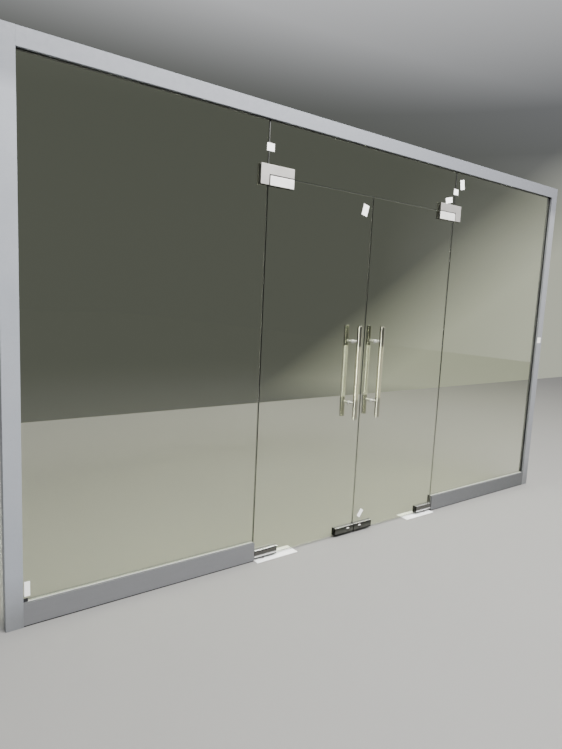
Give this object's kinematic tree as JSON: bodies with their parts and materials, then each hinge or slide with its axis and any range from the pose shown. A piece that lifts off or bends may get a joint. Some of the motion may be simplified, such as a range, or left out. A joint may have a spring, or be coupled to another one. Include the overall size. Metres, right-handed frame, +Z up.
{
  "type": "glass entrance door",
  "caption": "Glass shop entrance: grey box frame, fixed side panes and overpanel, double-action leaves with patch fittings, pull bars, corner locks and floor closers.",
  "frame": {"origin": "finished floor level, on the line between the leaves, in the middle of the glass thickness", "axes": "+X to the right seen from outside, +Y into the room, +Z up"},
  "size_m": [4.332, 0.16, 2.652],
  "materials": {
    "frame_paint": "light grey satin powder coat",
    "cleat_aluminium": "mill finish",
    "gasket_rubber": "matt black",
    "cap_plastic": "matt black",
    "clear_glass": "clear toughened, slightly green",
    "silicone": "translucent grey",
    "label_paper": "blank, matt white",
    "satin_steel": "satin stainless",
    "polished_steel": "polished stainless",
    "two_tone_pull": "satin middle with polished ends",
    "cast_insert": "cast, bare",
    "fibre_pad": "dark fibre",
    "screw_steel": "bright",
    "pivot_steel": "turned",
    "bush_brass": "turned",
    "tray_steel": "pressed sheet",
    "closer_iron": "painted casting",
    "washer_nylon": "natural"
  },
  "bodies": {
    "frame": {"closer_bodies": "closer_iron", "closer_cover_screws": "screw_steel", "closer_covers": "satin_steel", "closer_trays": "tray_steel", "corner_cleats": "cleat_aluminium", "floor_bolt_sockets": "pivot_steel", "glazing_beads": "frame_paint", "head_rail": "frame_paint", "left_jamb": "frame_paint", "left_pane": "clear_glass", "left_sill": "frame_paint", "overpanel": "clear_glass", "pane_gaskets": "gasket_rubber", "pane_joint_seals": "silicone", "pane_labels": "label_paper", "right_jamb": "frame_paint", "right_pane": "clear_glass", "right_sill": "frame_paint", "setting_blocks": "gasket_rubber", "sill_caps_and_beds": "cap_plastic", "top_pivot_pins": "pivot_steel", "transom_patch_inserts": "cast_insert", "transom_patch_pads": "fibre_pad", "transom_patch_screws": "screw_steel", "transom_patches_inner": "satin_steel", "transom_patches_outer": "satin_steel"},
    "left_leaf": {"left_bottom_patch_plates": "polished_steel", "left_closer_spindle": "pivot_steel", "left_inner_pull": "two_tone_pull", "left_leaf_glass": "clear_glass", "left_leaf_label": "label_paper", "left_lock_case_plates": "polished_steel", "left_lock_cylinder": "polished_steel", "left_outer_pull": "two_tone_pull", "left_patch_inserts": "cast_insert", "left_patch_pads": "fibre_pad", "left_patch_screws": "screw_steel", "left_pivot_bush": "bush_brass", "left_pull_posts": "screw_steel", "left_pull_washers": "washer_nylon", "left_top_patch_plates": "satin_steel"},
    "right_leaf": {"right_bottom_patch_plates": "polished_steel", "right_closer_spindle": "pivot_steel", "right_inner_pull": "two_tone_pull", "right_leaf_glass": "clear_glass", "right_leaf_label": "label_paper", "right_lock_case_plates": "polished_steel", "right_lock_cylinder": "polished_steel", "right_outer_pull": "two_tone_pull", "right_patch_inserts": "cast_insert", "right_patch_pads": "fibre_pad", "right_patch_screws": "screw_steel", "right_pivot_bush": "bush_brass", "right_pull_posts": "screw_steel", "right_pull_washers": "washer_nylon", "right_top_patch_plates": "satin_steel"},
    "left_key": {"left_key_plug": "polished_steel"},
    "right_key": {"right_key_plug": "polished_steel"},
    "left_bolt": {"left_lock_bolt": "pivot_steel"},
    "right_bolt": {"right_lock_bolt": "pivot_steel"}
  },
  "joints": [
    {"name": "left_leaf_swing", "type": "hinge", "parent": "frame", "child": "left_leaf", "pos_m": [-0.749, 0, 0], "axis": [0, 0, 1], "range_deg": [-90, 90], "stiffness_Nm_per_rad": 12},
    {"name": "left_key_turn", "type": "hinge", "parent": "left_leaf", "child": "left_key", "pos_m": [-0.054, 0, 0.04], "axis": [0, 1, 0], "range_deg": [0, 360]},
    {"name": "left_bolt_throw", "type": "slide", "parent": "left_leaf", "child": "left_bolt", "axis": [0, 0, -1], "range_m": [0, 0.02]},
    {"name": "right_leaf_swing", "type": "hinge", "parent": "frame", "child": "right_leaf", "pos_m": [0.749, 0, 0], "axis": [0, 0, 1], "range_deg": [-90, 90], "stiffness_Nm_per_rad": 12},
    {"name": "right_key_turn", "type": "hinge", "parent": "right_leaf", "child": "right_key", "pos_m": [0.054, 0, 0.04], "axis": [0, 1, 0], "range_deg": [0, 360]},
    {"name": "right_bolt_throw", "type": "slide", "parent": "right_leaf", "child": "right_bolt", "axis": [0, 0, -1], "range_m": [0, 0.02]}
  ],
  "couplings": [
    {"joint": "left_key_turn", "follows": "left_bolt_throw", "rad_per_m": 314.16},
    {"joint": "right_key_turn", "follows": "right_bolt_throw", "rad_per_m": 314.16}
  ]
}
